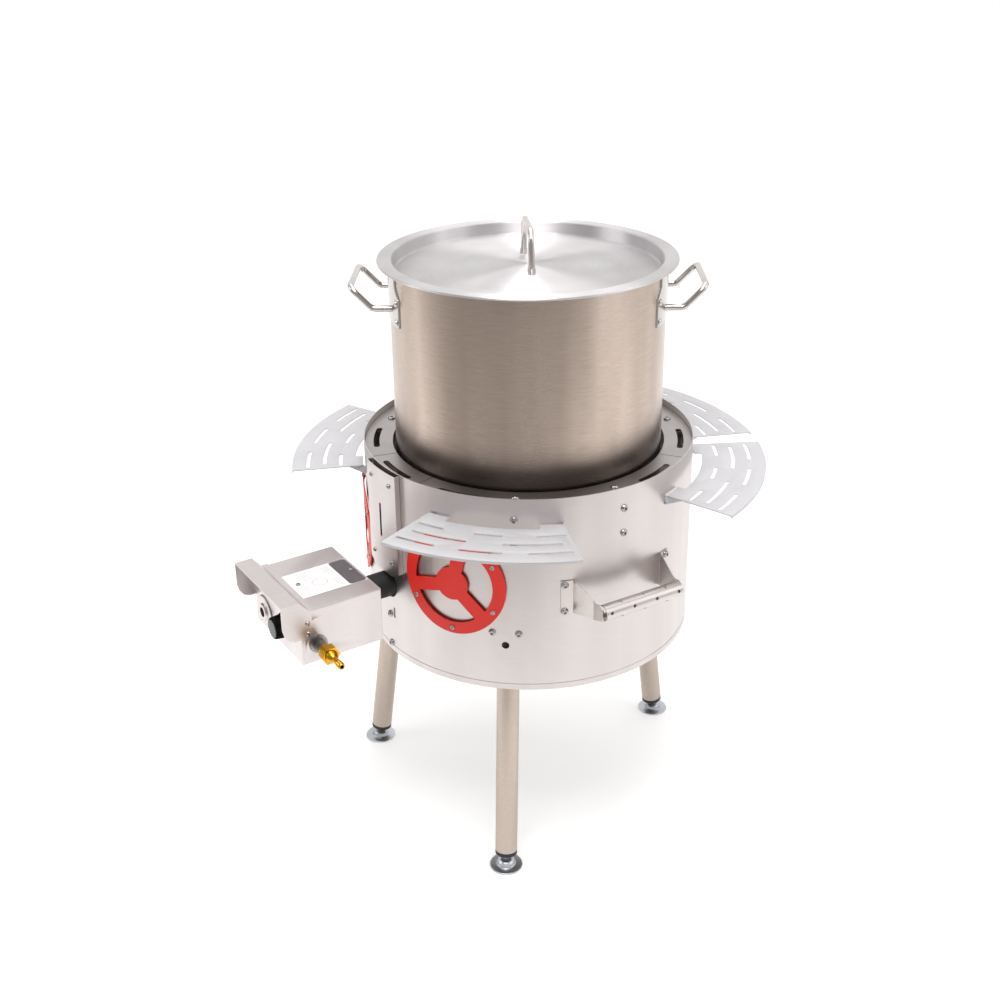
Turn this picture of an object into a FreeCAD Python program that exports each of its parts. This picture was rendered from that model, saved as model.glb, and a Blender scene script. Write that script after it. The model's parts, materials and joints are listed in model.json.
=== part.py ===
import FreeCAD, Part
import math
import os
import re
import Sketcher
from FreeCAD import Placement, Rotation, Vector

# A stainless stock pot with a lid, standing in a three-legged gas burner drum.
# Frame: millimetres, +Z up, origin on the floor below the drum's axis.
# The burner box points to -Y, which is called the front. Each piece is drawn at
# the front and turned about Z to its own bearing: positive bearings go towards +X.
# A reach is a distance from the drum's axis towards the front (reach = -y).

doc = FreeCAD.newDocument("gas_fired_brew_kettle")

SIZES = {
    # pot
    "pot_radius": 200,
    "pot_wall": 1.2,
    "pot_floor_gauge": 5,
    "pot_floor_level": 474,
    "pot_rim_level": 872,
    "pot_corner": 16,
    # lid
    "lid_radius": 217,
    "lid_top_level": 874,
    "lid_gauge": 1.2,
    "lid_well_radius": 197.4,
    "lid_well_depth": 22,
    "lid_crown": 8,
    "lid_handle_half_span": 55,
    "lid_handle_rise": 60,
    "lid_handle_radius": 4.5,
    # pot side handles
    "side_handle_radius": 4.6,
    "side_handle_half_span": 58,
    "side_handle_level": 812,
    "side_handle_rise": 31,
    "side_handle_knee_reach": 221,
    "side_handle_grip_reach": 251,
    "side_plate_gauge": 2,
    # burner drum
    "drum_radius": 248.4,
    "drum_gauge": 1.5,
    "drum_bottom": 301,
    "drum_top": 603,
    "drum_hem": 9,
    # top ring
    "ring_gauge": 1.5,
    "ring_level": 593,
    "ring_inner_radius": 205,
    "ring_outer_radius": 246.4,
    "ring_slot_radius": 229.5,
    "ring_slot_width": 9,
    "ring_slot_half_angle": 9.2,
    # pot rests inside the drum
    "rest_gauge": 4,
    "rest_inner_reach": 140,
    # legs and feet
    "leg_floor_reach": 266,
    "leg_lean": 7.5,
    "leg_radius": 16.5,
    "leg_wall": 1.5,
    "leg_start": 27.2,
    "leg_length": 369,
    "foot_radius": 25,
    "foot_gauge": 3,
    "stem_radius": 4,
    # shelves
    "shelf_level": 565.5,
    "shelf_gauge": 1.5,
    "shelf_inner_radius": 262.5,
    "shelf_outer_radius": 357,
    "shelf_tab_radius": 251,
    "shelf_half_angle": 22.3,
    "shelf_tab_half_angle": 14.6,
    "shelf_slot_width": 5,
    "shelf_lip_depth": 2.5,
    "lug_offset": 93.2,
    "lug_gauge": 2,
    "lug_wall_reach": 230.2,
    # round guards
    "guard_bearing": 30.6,
    "guard_level": 463,
    "guard_radius": 79,
    "guard_rim_radius": 61,
    "guard_hub_radius": 25,
    "guard_spoke_width": 20,
    "guard_screw_radius": 70.5,
    "guard_gap": 2.6,
    "guard_gauge": 2,
    # port cover
    "cover_reach": 257.2,
    "cover_gauge": 1.2,
    "cover_half_angle": 9.2,
    "cover_bottom": 439,
    "cover_top": 602,
    # carry handles
    "carry_bearing": 88,
    "carry_grip_reach": 295,
    "carry_grip_level": 448,
    "carry_grip_radius": 11.5,
    "carry_grip_half_length": 65,
    "carry_gauge": 1.5,
    # burner box
    "box_inner_reach": 302,
    "box_outer_reach": 427,
    "box_half_width": 77,
    "box_bottom": 376,
    "box_top": 456.6,
    "box_gauge": 1.2,
    "hood_level": 475,
    "hood_front_reach": 454,
    "hood_foot_reach": 405,
    "burner_level": 415,
    "burner_tube_radius": 19.5,
    "inlet_reach": 402,
    "inlet_level": 403,
    "knob_offset": 37,
    "knob_level": 423,
    "knob_radius": 18.5,
    "air_offset": -47,
    "air_level": 402,
    # fasteners
    "screw_head_radius": 5.5,
    "screw_head_height": 3.2,
    "screw_shank_radius": 3,
    "screw_hole_radius": 3.3,
    "small_head_radius": 3.6,
    "small_head_height": 2,
    "small_shank_radius": 2,
}

sheet = doc.addObject("Spreadsheet::Sheet", "sizes")
for row, (alias, amount) in enumerate(SIZES.items(), 1):
    sheet.set(f"A{row}", alias)
    sheet.set(f"B{row}", str(amount))
    sheet.setAlias(f"B{row}", alias)
doc.recompute()

UP = Rotation()
OUTWARD = Rotation(Vector(1, 0, 0), 90)
SIDEWAYS = Rotation(Vector(0, 1, 0), 90)
ORIGIN = (0, 0, 0)
LEG_BEARINGS = (48.4, -48.4, 180)
SHELF_BEARINGS = (45, 129.5, 180, -129.5, -45)
RING_BEARINGS = (69.8, 180, -69.8)
REST_SWING = 18.4
BOLT_REACH = 224
HANDLE_BEARINGS = (-34, 146)
CARRY_SWING = 20.4
sub_parts = []


# ---------------------------------------------------------------- drawing aids

def cells(formula):
    """Write the spreadsheet's name in front of each size in a formula."""
    def address(word):
        return "sizes." + word.group() if word.group() in SIZES else word.group()
    return re.sub(r"[a-z]\w*", address, str(formula))


def value(formula):
    """Work out a formula of spreadsheet sizes as a number."""
    return float(sheet.evalExpression(cells(formula)))


def bind(feature, **formulas):
    """Tie properties of a feature to formulas of spreadsheet sizes."""
    for name, formula in formulas.items():
        feature.setExpression(name, cells(formula))
    return feature


def put(feature, at, turn=UP):
    """Place a feature at a point given as formulas."""
    feature.Placement = Placement(Vector(*[value(part) for part in at]), turn)
    for axis, formula in zip("xyz", at):
        feature.setExpression("Placement.Base." + axis, cells(formula))
    return feature


def cylinder(radius, height, at=ORIGIN, turn=UP):
    shape = doc.addObject("Part::Cylinder", "cylinder")
    bind(shape, Radius=radius, Height=height)
    return put(shape, at, turn)


def rod_at(place, radius, height, start=0):
    """A cylinder along the +Z of a placement, from a start distance."""
    shape = doc.addObject("Part::Cylinder", "rod")
    bind(shape, Radius=radius, Height=height)
    shape.Placement = place * Placement(Vector(0, 0, start), UP)
    return shape


def cone(lower_radius, upper_radius, height, at=ORIGIN, turn=UP):
    shape = doc.addObject("Part::Cone", "cone")
    bind(shape, Radius1=lower_radius, Radius2=upper_radius, Height=height)
    return put(shape, at, turn)


def hexagon(corner_radius, height, at=ORIGIN, turn=UP):
    shape = doc.addObject("Part::Prism", "hexagon")
    shape.Polygon = 6
    bind(shape, Circumradius=corner_radius, Height=height)
    return put(shape, at, turn)


def box(width, depth, height, centre_x, front_reach, bottom):
    """A box centred on centre_x whose front face lies at front_reach."""
    shape = doc.addObject("Part::Box", "box")
    bind(shape, Length=width, Width=depth, Height=height)
    return put(shape, (f"{centre_x} - ({width}) / 2", f"-({front_reach})", bottom))


def fuse(*shapes):
    fused = doc.addObject("Part::MultiFuse", "fuse")
    fused.Shapes = list(shapes)
    return fused


def cut(base, *tools):
    """Cut tools that stay clear of each other from a base."""
    difference = doc.addObject("Part::Cut", "cut")
    difference.Base = base
    if len(tools) == 1:
        difference.Tool = tools[0]
    else:
        difference.Tool = doc.addObject("Part::Compound", "tools")
        difference.Tool.Links = list(tools)
    return difference


def common(first, second):
    overlap = doc.addObject("Part::Common", "common")
    overlap.Base = first
    overlap.Tool = second
    return overlap


def swing(feature, bearing):
    """Turn a finished feature about the drum's axis."""
    feature.Placement = Placement(Vector(), Rotation(Vector(0, 0, 1), bearing))
    return feature


def ring_sector(inner, outer, height, bottom, half_angle):
    """Part of a flat or tall ring, centred on the front."""
    wedge = cylinder(outer, height, (0, 0, bottom))
    wedge.Placement.Rotation = Rotation(Vector(0, 0, 1), -90 - value(half_angle))
    bind(wedge, Angle=f"2 * ({half_angle})")
    core = cylinder(inner, f"{height} + 2", (0, 0, f"{bottom} - 1"))
    return cut(wedge, core)


def arc_slot(radius, width, half_angle, bottom, height):
    """A tool for a curved slot with round ends, centred on the front."""
    half = f"({width}) / 2"
    middle = ring_sector(f"{radius} - {half}", f"{radius} + {half}", height, bottom, half_angle)
    ends = []
    for side in (-1, 1):
        x = f"{side} * {radius} * sin({half_angle})"
        y = f"-{radius} * cos({half_angle})"
        ends.append(cylinder(half, height, (x, y, bottom)))
    return fuse(middle, *ends)


def outline_sketch(body, plane, outline):
    """A closed outline on one of the body's own planes, held by its corners."""
    role = [part for part in body.Origin.OriginFeatures if part.Role == plane][0]
    sketch = body.newObject("Sketcher::SketchObject", "outline")
    sketch.AttachmentSupport = [(role, "")]
    sketch.MapMode = "FlatFace"
    corners = [Vector(value(x), value(y), 0) for x, y in outline]
    count = len(corners)
    for index in range(count):
        edge = Part.LineSegment(corners[index], corners[(index + 1) % count])
        sketch.addGeometry(edge, False)
    for index in range(count):
        joined = Sketcher.Constraint("Coincident", index, 2, (index + 1) % count, 1)
        sketch.addConstraint(joined)
    for index, corner in enumerate(outline):
        for kind, formula in zip(("DistanceX", "DistanceY"), corner):
            distance = Sketcher.Constraint(kind, -1, 1, index, 1, value(formula))
            number = sketch.addConstraint(distance)
            sketch.setExpression(f"Constraints[{number}]", cells(formula))
    return sketch


def prism(plane, outline, start, length):
    """A straight extrusion of an outline, as a body with one pad."""
    body = doc.addObject("PartDesign::Body", "prism")
    sketch = outline_sketch(body, plane, outline)
    sketch.setExpression("AttachmentOffset.Base.z", cells(start))
    pad = body.newObject("PartDesign::Pad", "pad")
    pad.Profile = sketch
    bind(pad, Length=length)
    return body


def turned(outline):
    """A body turned about Z from an outline of (radius, height) corners."""
    body = doc.addObject("PartDesign::Body", "turned")
    sketch = outline_sketch(body, "XZ_Plane", outline)
    spin = body.newObject("PartDesign::Revolution", "revolution")
    spin.Profile = sketch
    spin.ReferenceAxis = (sketch, ["V_Axis"])
    spin.Angle = 360
    return body


def round_edges(body, radius, wanted):
    """Fillet the tip's circular edges whose (radius, height) passes the test."""
    doc.recompute()
    tip = body.Tip
    names = []
    for number, edge in enumerate(tip.Shape.Edges, 1):
        if isinstance(edge.Curve, Part.Circle) and wanted(edge.Curve.Radius, edge.Curve.Center.z):
            names.append(f"Edge{number}")
    fillet = body.newObject("PartDesign::Fillet", "fillet")
    fillet.Base = (tip, names)
    bind(fillet, Radius=radius)
    return body


def rounded_route(corners, bend):
    """A wire of straight runs joined by tangent arcs of one radius."""
    edges = []
    start = corners[0]
    for before, corner, after in zip(corners, corners[1:], corners[2:]):
        back = (before - corner).normalize()
        ahead = (after - corner).normalize()
        half_turn = back.getAngle(ahead) / 2
        first = corner + back * (bend / math.tan(half_turn))
        last = corner + ahead * (bend / math.tan(half_turn))
        inward = (back + ahead).normalize()
        middle = corner + inward * (bend / math.sin(half_turn) - bend)
        edges.append(Part.LineSegment(start, first).toShape())
        edges.append(Part.Arc(first, middle, last).toShape())
        start = last
    edges.append(Part.LineSegment(start, corners[-1]).toShape())
    return Part.Wire(edges)


def bent_rod(corners, radius, bend):
    """A round rod along a rounded route, as a feature with a set shape."""
    route = rounded_route(corners, bend)
    direction = (corners[1] - corners[0]).normalize()
    section = Part.Wire(Part.makeCircle(radius, corners[0], direction))
    rod = doc.addObject("Part::Feature", "rod")
    rod.Shape = route.makePipeShell([section], True, True)
    return rod


def front_point(x, reach, level):
    return Vector(x, -reach, level)


def radial_place(bearing, radius, level, offset=0):
    """Placement on the drum's wall whose +Z points straight out at a bearing."""
    about = Rotation(Vector(0, 0, 1), bearing)
    return Placement(about.multVec(Vector(offset, -radius, level)), about * OUTWARD)


def upright_place(bearing, reach, level):
    """Placement at a bearing and reach whose +Z points up."""
    about = Rotation(Vector(0, 0, 1), bearing)
    return Placement(about.multVec(front_point(0, reach, level)), about)


def keep(feature, label):
    """Name a feature as one of the object's pieces."""
    feature.Label = label
    sub_parts.append(feature)
    return feature


def group(features, label):
    """Several separate solids of one kind, kept as one piece."""
    together = doc.addObject("Part::Compound", "group")
    together.Links = features
    return keep(together, label)


def screws(places, head_radius, head_height, shank_radius, shank_length, label):
    """Button-head socket screws, each seated at a placement whose +Z points out."""
    blank = turned([
        ("0", f"-({shank_length})"),
        (shank_radius, f"-({shank_length})"),
        (shank_radius, "0"),
        (head_radius, "0"),
        (f"0.96 * {head_radius}", f"0.35 * {head_height}"),
        (f"0.82 * {head_radius}", f"0.75 * {head_height}"),
        (f"0.58 * {head_radius}", head_height),
        ("0", head_height),
    ])
    socket = hexagon(f"0.46 * {head_radius}", head_height, (0, 0, f"0.4 * {head_height}"))
    copies = []
    for place in places:
        screw = cut(blank, socket)
        screw.Placement = place
        copies.append(screw)
    return group(copies, label)


# ------------------------------------------------------------------------- pot

def make_pot():
    body = turned([
        ("0", "pot_floor_level"),
        ("pot_radius", "pot_floor_level"),
        ("pot_radius", "pot_rim_level - 3"),
        ("pot_radius + 4", "pot_rim_level - 3"),
        ("pot_radius + 4", "pot_rim_level"),
        ("pot_radius - pot_wall", "pot_rim_level"),
        ("pot_radius - pot_wall", "pot_floor_level + pot_floor_gauge"),
        ("0", "pot_floor_level + pot_floor_gauge"),
    ])
    floor = value("pot_floor_level")
    inside = value("pot_radius - pot_wall")
    round_edges(body, "pot_corner - pot_wall",
                lambda radius, level: abs(radius - inside) < 0.01 and floor < level < floor + 20)
    round_edges(body, "pot_corner", lambda radius, level: abs(level - floor) < 0.01)
    keep(body, "pot_body")


def side_plate():
    """The curved mounting plate of a pot handle, with clipped upper corners."""
    skin = ring_sector("pot_radius + 0.05", "pot_radius + side_plate_gauge", 80, 788, 32)
    face = prism("XZ_Plane", [
        ("-89.5", "792"), ("89.5", "792"), ("89.5", "833"), ("77", "848"),
        ("77", "864"), ("-77", "864"), ("-77", "848"), ("-89.5", "833"),
    ], "100", "150")
    return common(skin, face)


def make_pot_handle(bearing, label):
    half_span = value("side_handle_half_span")
    knee = value("side_handle_knee_reach")
    grip = value("side_handle_grip_reach")
    low = value("side_handle_level")
    high = low + value("side_handle_rise")
    start = 192.4
    rod = bent_rod([
        front_point(-half_span, start, low), front_point(-half_span, knee, low),
        front_point(-half_span, grip, high), front_point(half_span, grip, high),
        front_point(half_span, knee, low), front_point(half_span, start, low),
    ], value("side_handle_radius"), 13)
    pot_clearance = cylinder("pot_radius + 0.05", 200, (0, 0, 740))
    rivet_holes = holes_at(rivet_places(0), 2.1, 4, 4)
    handle = cut(cut(fuse(rod, side_plate()), pot_clearance), *rivet_holes)
    keep(swing(handle, bearing), label)


def rivet_places(bearing):
    """Two rivets at each end of a handle plate."""
    seat = value("pot_radius + side_plate_gauge") + 0.1
    return [radial_place(bearing + side, seat, level)
            for side in (-24, 24) for level in (798.5, 826.5)]


def make_pot_rivets():
    places = [place for bearing in HANDLE_BEARINGS for place in rivet_places(bearing)]
    blank = turned([("0", "0"), ("5", "0"), ("4.6", "1"), ("3.4", "2"), ("1.6", "2.5"), ("0", "2.6")])
    rivets = []
    for place in places:
        rivet = fuse(blank, cylinder(2, 1.9, (0, 0, -1.9)))
        rivet.Placement = place
        rivets.append(rivet)
    group(rivets, "pot_rivets")


def make_lid():
    well_floor = "lid_top_level - lid_well_depth"
    body = turned([
        ("lid_well_radius", "lid_top_level - lid_gauge"),
        ("lid_radius", "lid_top_level - lid_gauge"),
        ("lid_radius", "lid_top_level"),
        ("lid_well_radius - lid_gauge", "lid_top_level"),
        ("lid_well_radius - 3 * lid_gauge", f"{well_floor} + lid_gauge"),
        ("0", f"{well_floor} + lid_crown + lid_gauge"),
        ("0", f"{well_floor} + lid_crown"),
        ("lid_well_radius - 2 * lid_gauge", well_floor),
    ])
    keep(body, "lid")


def make_lid_handle():
    """An arched rod whose two ends stand in short welded sleeves."""
    span = value("lid_handle_half_span")
    foot = value("lid_top_level - lid_well_depth + lid_crown + lid_gauge") - 2.6
    top = foot + value("lid_handle_rise")
    radius = value("lid_handle_radius")
    rod = bent_rod([
        Vector(0, -span, foot + 1), Vector(0, 10 - span, top),
        Vector(0, span - 10, top), Vector(0, span, foot + 1),
    ], radius, 20)
    sleeves = []
    for side in (-1, 1):
        sleeves.append(cylinder("lid_handle_radius + 1", 10, (0, side * span, foot + 0.4)))
    keep(swing(fuse(rod, *sleeves), 62), "lid_handle")


# ------------------------------------------------------------------ burner drum

def drum_screw_places():
    """Every button-head screw on the drum's wall, with its seat radius."""
    places = []
    seat = value("drum_radius") + 0.06
    for centre in RING_BEARINGS:
        for side in (-REST_SWING, REST_SWING):
            places += [radial_place(centre + side, seat, level) for level in (571.5, 533.7)]
    for bearing in LEG_BEARINGS:
        places += [radial_place(bearing + side, seat, 393) for side in (-4.35, 4.35)]
    for centre in (value("carry_bearing"), -value("carry_bearing")):
        for side in (-CARRY_SWING, CARRY_SWING):
            outer = seat + value("carry_gauge") + 0.2
            places += [radial_place(centre + side, outer, level) for level in (469.5, 428)]
    places += [radial_place(0, seat, level) for level in (363, 313)]
    return places


def guard_screw_places(bearing):
    """Six screws on a circle, each square to the drum's wall."""
    places = []
    radius = value("guard_screw_radius")
    seat = value("drum_radius + guard_gap + guard_gauge") + 0.05
    for corner in (30, 90, 150, 210, 270, 330):
        offset = radius * math.cos(math.radians(corner))
        level = value("guard_level") + radius * math.sin(math.radians(corner))
        around = math.degrees(math.asin(offset / seat))
        places.append(radial_place(bearing + around, seat, level))
    return places


def cover_screw_places():
    seat = value("cover_reach") + 0.05
    return [radial_place(side, seat, level) for side in (-5.8, 5.8) for level in (583.5, 461.5)]


def holes_at(places, radius, inward, outward):
    """Round tools along the +Z of each placement."""
    return [rod_at(place, radius, inward + outward, -inward) for place in places]


def make_drum():
    """A rolled sheet drum with a hemmed lower edge and every hole it carries."""
    shell = turned([
        ("drum_radius", "drum_bottom"),
        ("drum_radius", "drum_bottom + drum_hem"),
        ("drum_radius - 0.5", "drum_bottom + drum_hem"),
        ("drum_radius - 0.5", "drum_bottom + drum_hem + 1.4"),
        ("drum_radius", "drum_bottom + drum_hem + 1.4"),
        ("drum_radius", "drum_top"),
        ("drum_radius - drum_gauge", "drum_top"),
        ("drum_radius - drum_gauge", "drum_bottom + drum_hem + 2"),
        ("drum_radius - 2 * drum_gauge", "drum_bottom + drum_hem + 2"),
        ("drum_radius - 2 * drum_gauge", "drum_bottom"),
    ])
    tools = holes_at(drum_screw_places(), "screw_hole_radius", 15, 5)
    for bearing in LEG_BEARINGS:
        tools += holes_at([radial_place(bearing, value("drum_radius"), 373.6)], 5.5, 15, 5)
    small = cover_screw_places()
    for side in (-1, 1):
        small += guard_screw_places(side * value("guard_bearing"))
    tools += holes_at(small, "small_shank_radius + 0.2", 15, 5)
    tools.append(cylinder("burner_tube_radius + 2.5", 60, (0, -200, "burner_level"), OUTWARD))
    tools.append(box(4, 30, 17, 12, "drum_radius + 10", 361))
    slit = "lug_wall_reach + 10"
    for bearing in SHELF_BEARINGS:
        pair = [box("lug_gauge + 1.6", 26, 13, f"{side} * lug_offset", slit, "shelf_level - 14.8")
                for side in (-1, 1)]
        tools.append(swing(fuse(*pair), bearing))
    keep(cut(shell, *tools), "drum_shell")


def make_top_ring():
    """Three equal ring plates and a narrow one over the burner port."""
    bottom = "ring_level - ring_gauge"
    slot = arc_slot("ring_slot_radius", "ring_slot_width", "ring_slot_half_angle - 1.1",
                    "ring_level - 5", 10)
    tools = [swing(fuse(*slot.Shapes), side) for side in (-38, 38)]
    spots = [upright_place(side, BOLT_REACH, value("ring_level") - 5) for side in (-REST_SWING, REST_SWING)]
    tools += [rod_at(spot, "screw_hole_radius", 10) for spot in spots]
    blank = ring_sector("ring_inner_radius", "ring_outer_radius", "ring_gauge", bottom, 54.95)
    for number, bearing in enumerate(RING_BEARINGS, 1):
        keep(swing(cut(blank, *tools), bearing), f"ring_plate_{number}")
    hatch = ring_sector("ring_inner_radius", "ring_outer_radius", "ring_gauge", bottom, 14.5)
    keep(cut(hatch, slot), "ring_hatch")


def rest_bearings():
    return [centre + side for centre in RING_BEARINGS for side in (-REST_SWING, REST_SWING)]


def make_ring_bolts():
    """One dome-head bolt through the ring plate into each pot rest."""
    seat = value("ring_level") + 0.05
    places = [upright_place(bearing, BOLT_REACH, seat) for bearing in rest_bearings()]
    screws(places, "screw_head_radius", "screw_head_height", "screw_shank_radius", 12, "ring_bolts")


def make_pot_rests():
    """Upright plates inside the drum whose lower arms carry the pot."""
    half = "rest_gauge / 2"
    top = "ring_level - ring_gauge"
    blade = prism("YZ_Plane", [
        ("-244.4", f"{top} - 2"), ("-214", f"{top} - 2"), ("-207", "560"), ("-207", "pot_floor_level"),
        ("-rest_inner_reach", "pot_floor_level"), ("-rest_inner_reach", "pot_floor_level - 14"),
        ("-212", "440"), ("-244.4", "440"),
    ], f"-{half}", "rest_gauge")
    top_flange = box(26, 34, 2, 0, 244.2, f"{top} - 2")
    wall_flange = box(26, 2, 76, 0, 246.2, 515)
    blank = fuse(blade, top_flange, wall_flange)
    bolt_hole = cylinder(3.3, 40, (0, -BOLT_REACH, "ring_level - 38"))
    wall_holes = [cylinder(3.3, 30, (0, -225, level), OUTWARD) for level in (571.5, 533.7)]
    tool = fuse(bolt_hole, *wall_holes)
    for number, bearing in enumerate(rest_bearings(), 1):
        keep(swing(cut(blank, tool), bearing), f"pot_rest_{number}")


# --------------------------------------------------------------- legs and feet

def leg_frame(bearing=0):
    """Leg axis frame: origin at the floor, +Z up along the leaning leg."""
    about = Rotation(Vector(0, 0, 1), bearing)
    spot = about.multVec(front_point(0, value("leg_floor_reach"), 0))
    return Placement(spot, about * Rotation(Vector(1, 0, 0), -value("leg_lean")))


def make_leg(number, bearing):
    tube = cut(cylinder("leg_radius", "leg_length", (0, 0, "leg_start")),
               cylinder("leg_radius - leg_wall", "leg_length + 2", (0, 0, "leg_start - 1")))
    tube.Placement = leg_frame(bearing)
    keep(tube, f"leg_tube_{number}")


def make_leg_cap(number, bearing):
    """A moulded plug with a collar, threaded for the foot."""
    collar = cylinder("leg_radius", 6, (0, 0, "leg_start - 6"))
    plug = cylinder("leg_radius - leg_wall - 0.1", 24, (0, 0, "leg_start - 3"))
    cap = cut(fuse(collar, plug), cylinder("stem_radius + 0.3", 60, (0, 0, 5)))
    cap.Placement = leg_frame(bearing)
    keep(cap, f"leg_cap_{number}")


def make_leg_socket(number, bearing):
    """A sleeve for the leg's top end, welded to a plate screwed to the drum."""
    sleeve = rod_at(leg_frame(), "leg_radius + 2.2", 86, 312)
    bore = rod_at(leg_frame(), "leg_radius + 0.15", 100, 305)
    plate = ring_sector("drum_radius - 4", "drum_radius - 1.6", 52, 352, 6.2)
    webs = [box(2.5, 28, 40, side * 16.4, 245, 360) for side in (-1, 1)]
    holes = [rod_at(radial_place(side, 236, 393), "screw_hole_radius", 18) for side in (-4.35, 4.35)]
    access = cylinder(5.5, 14, (0, -236, 373.6), OUTWARD)
    socket = cut(fuse(sleeve, plate, *webs), bore, access, *holes)
    keep(swing(socket, bearing), f"leg_socket_{number}")


def make_foot(number, bearing):
    """A zinc disc foot with a domed hub, a lock nut and a threaded stem."""
    disc = turned([
        ("0", "0"), ("foot_radius - 1", "0"), ("foot_radius", "1"), ("foot_radius", "foot_gauge - 0.8"),
        ("foot_radius - 1.5", "foot_gauge"), ("14", "foot_gauge"), ("12.5", "foot_gauge + 4"),
        ("9", "foot_gauge + 7.5"), ("5", "foot_gauge + 9"), ("0", "foot_gauge + 9"),
    ])
    foot_centre = value("leg_floor_reach")
    disc.Placement = Placement(front_point(0, foot_centre, 0), UP)
    stem = cylinder("stem_radius", 36, (0, 0, 7))
    nut = hexagon(7.5, 6, (0, 0, 15))
    rod = fuse(stem, nut)
    rod.Placement = leg_frame()
    keep(swing(fuse(disc, rod), bearing), f"foot_{number}")


# --------------------------------------------------------------------- shelves

def shelf_blank():
    bottom = "shelf_level - shelf_gauge"
    plate = ring_sector("shelf_inner_radius", "shelf_outer_radius", "shelf_gauge", bottom,
                        "shelf_half_angle")
    band = ring_sector("shelf_tab_radius", "shelf_inner_radius + 1", "shelf_gauge", bottom,
                       "shelf_half_angle")
    gap = ring_sector("shelf_tab_radius - 5", "shelf_inner_radius + 3", 10, f"{bottom} - 4",
                      "shelf_tab_half_angle")
    tabs = cut(band, common(gap, cylinder("shelf_inner_radius", 20, (0, 0, f"{bottom} - 8"))))
    lip = ring_sector("shelf_outer_radius - shelf_gauge", "shelf_outer_radius",
                      "shelf_lip_depth + 1", f"{bottom} - shelf_lip_depth", "shelf_half_angle")
    lugs = [shelf_lug(side) for side in (-1, 1)]
    return fuse(plate, tabs, lip, *lugs)


def shelf_lug(side):
    """A folded side lug whose neck passes through a slit and hooks up inside the wall."""
    under = "shelf_level - shelf_gauge + 0.2"
    wall = "-lug_wall_reach"
    outline = [
        (f"{wall} - 32", under), (f"{wall} - 28", f"{under} - 4"), (f"{wall} - 0.9", f"{under} - 14"),
        (f"{wall} - 0.9", f"{under} - 9.6"), (f"{wall} + 6.5", f"{under} - 9.6"),
        (f"{wall} + 6.5", f"{under} + 4"), (f"{wall} + 2.8", f"{under} + 4"),
        (f"{wall} + 2.8", f"{under} - 1.4"), (f"{wall} - 2.2", f"{under} - 1.4"),
        (f"{wall} - 3", under),
    ]
    return prism("YZ_Plane", outline, f"{side} * lug_offset - lug_gauge / 2", "lug_gauge")


def shelf_slots():
    """Three staggered rows: short, long and middling slots."""
    slots = []
    for radius, half_angle, bearings in ((284.5, 4.1, (-17, 0, 17)), (308.5, 7.6, (-12, 12)),
                                         (333, 5.2, (-16, 0, 16))):
        slot = arc_slot(radius, "shelf_slot_width", half_angle - 0.5, "shelf_level - 5", 10)
        for bearing in bearings:
            slots.append(swing(fuse(*slot.Shapes), bearing))
    return fuse(*slots)


def make_shelves():
    blank = shelf_blank()
    slots = shelf_slots()
    for number, bearing in enumerate(SHELF_BEARINGS, 1):
        keep(swing(cut(blank, slots), bearing), f"shelf_{number}")


# -------------------------------------------------- round guards and port cover

def make_round_guards():
    """Curved red plates on the drum: a rim, a hub and three plain spokes."""
    inner = "drum_radius + guard_gap"
    skin = ring_sector(inner, f"{inner} + guard_gauge", 170, "guard_level - 85", 20)
    centre = (0, -200, "guard_level")
    disc = cylinder("guard_radius", 80, centre, OUTWARD)
    opening = cut(cylinder("guard_rim_radius", 84, centre, OUTWARD),
                  cylinder("guard_hub_radius", 84, centre, OUTWARD))
    spokes = []
    for lean in (0, 120, 240):
        spoke = doc.addObject("Part::Box", "spoke")
        bind(spoke, Length="guard_spoke_width", Width=100, Height="guard_rim_radius + 4")
        spin = Rotation(Vector(0, 1, 0), lean + 15)
        corner = spin.multVec(Vector(-value("guard_spoke_width") / 2, 0, 0))
        spoke.Placement = Placement(Vector(corner.x, -290, value("guard_level") + corner.z), spin)
        spokes.append(spoke)
    windows = cut(opening, fuse(*spokes))
    face = cut(disc, windows)
    holes = holes_at(guard_screw_places(0), "small_shank_radius + 0.2", 12, 4)
    for number, side in enumerate((1, -1), 1):
        guard = cut(common(skin, face), *holes)
        keep(swing(guard, side * value("guard_bearing")), f"round_guard_{number}")


def make_port_cover():
    """A shallow curved tray over the burner port, with clipped lower corners."""
    height = "cover_top - cover_bottom"
    outer = ring_sector("drum_radius + 0.3", "cover_reach", height, "cover_bottom",
                        "cover_half_angle")
    hollow = ring_sector("drum_radius - 1", "cover_reach - cover_gauge", f"{height} + 4",
                         "cover_bottom - 2", "cover_half_angle - 0.28")
    face = prism("XZ_Plane", [
        ("-60", "cover_top"), ("-60", "cover_bottom + 18"), ("-26", "cover_bottom"),
        ("26", "cover_bottom"), ("60", "cover_bottom + 18"), ("60", "cover_top"),
    ], "200", "100")
    sight_slot = box(5, 30, 53, 0, "cover_reach + 5", 495)
    holes = holes_at(cover_screw_places(), "small_shank_radius + 0.2", 12, 4)
    keep(cut(common(cut(outer, hollow), face), sight_slot, *holes), "port_cover")


# --------------------------------------------------------------- carry handles

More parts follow.
